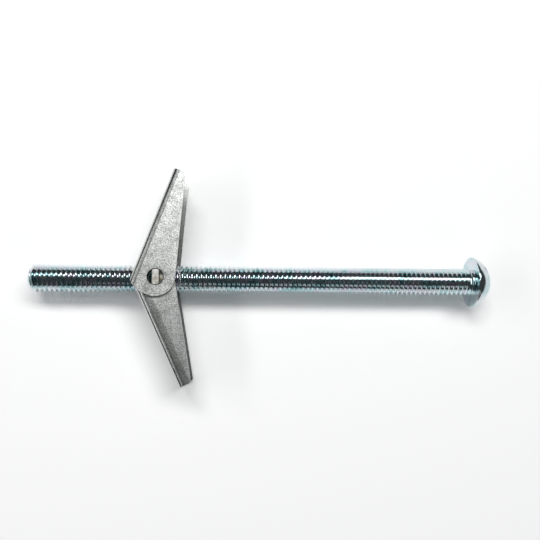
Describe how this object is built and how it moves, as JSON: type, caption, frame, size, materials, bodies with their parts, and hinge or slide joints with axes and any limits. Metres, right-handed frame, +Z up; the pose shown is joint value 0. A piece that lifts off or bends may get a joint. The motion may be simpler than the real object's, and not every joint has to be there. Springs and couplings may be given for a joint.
{
  "type": "spring toggle bolt",
  "caption": "Long slotted round-head machine screw carrying a toggle: a trunnion nut with sprung folding wings that spread behind a hollow wall.",
  "frame": {"origin": "centre of the bearing face under the screw head, on the screw's axis", "axes": "+X along the screw from its nose to its head, +Y across towards the outer wing, +Z up along the wings' pivot"},
  "size_m": [0.1567, 0.0724, 0.0174],
  "materials": {
    "screw_plating": "bright zinc-plated steel, glossy rolled thread",
    "nut_plating": "zinc-plated steel, satin",
    "wing_plating": "zinc-plated sheet steel, finely pitted satin flanges and bright bends",
    "spring_wire": "drawn steel spring wire"
  },
  "bodies": {
    "screw": {"machine_screw": "screw_plating"},
    "nut": {"trunnion_nut": "nut_plating", "torsion_spring": "spring_wire"},
    "outer_wing": {"outer_wing": "wing_plating"},
    "inner_wing": {"inner_wing": "wing_plating"}
  },
  "joints": [
    {"name": "toggle_travel", "type": "slide", "parent": "screw", "child": "nut", "axis": [1, 0, 0], "range_m": [-0.0381, 0.06985]},
    {"name": "outer_wing_fold", "type": "hinge", "parent": "nut", "child": "outer_wing", "pos_m": [-0.108, 0, 0], "axis": [0, 0, -1], "range_deg": [0, 68], "stiffness_Nm_per_rad": 0.015, "springref_deg": -57.3, "deforming": ["torsion_spring"]},
    {"name": "inner_wing_fold", "type": "hinge", "parent": "nut", "child": "inner_wing", "pos_m": [-0.108, 0, 0], "axis": [0, 0, 1], "range_deg": [0, 63], "stiffness_Nm_per_rad": 0.015, "springref_deg": -57.3, "deforming": ["torsion_spring"]}
  ]
}
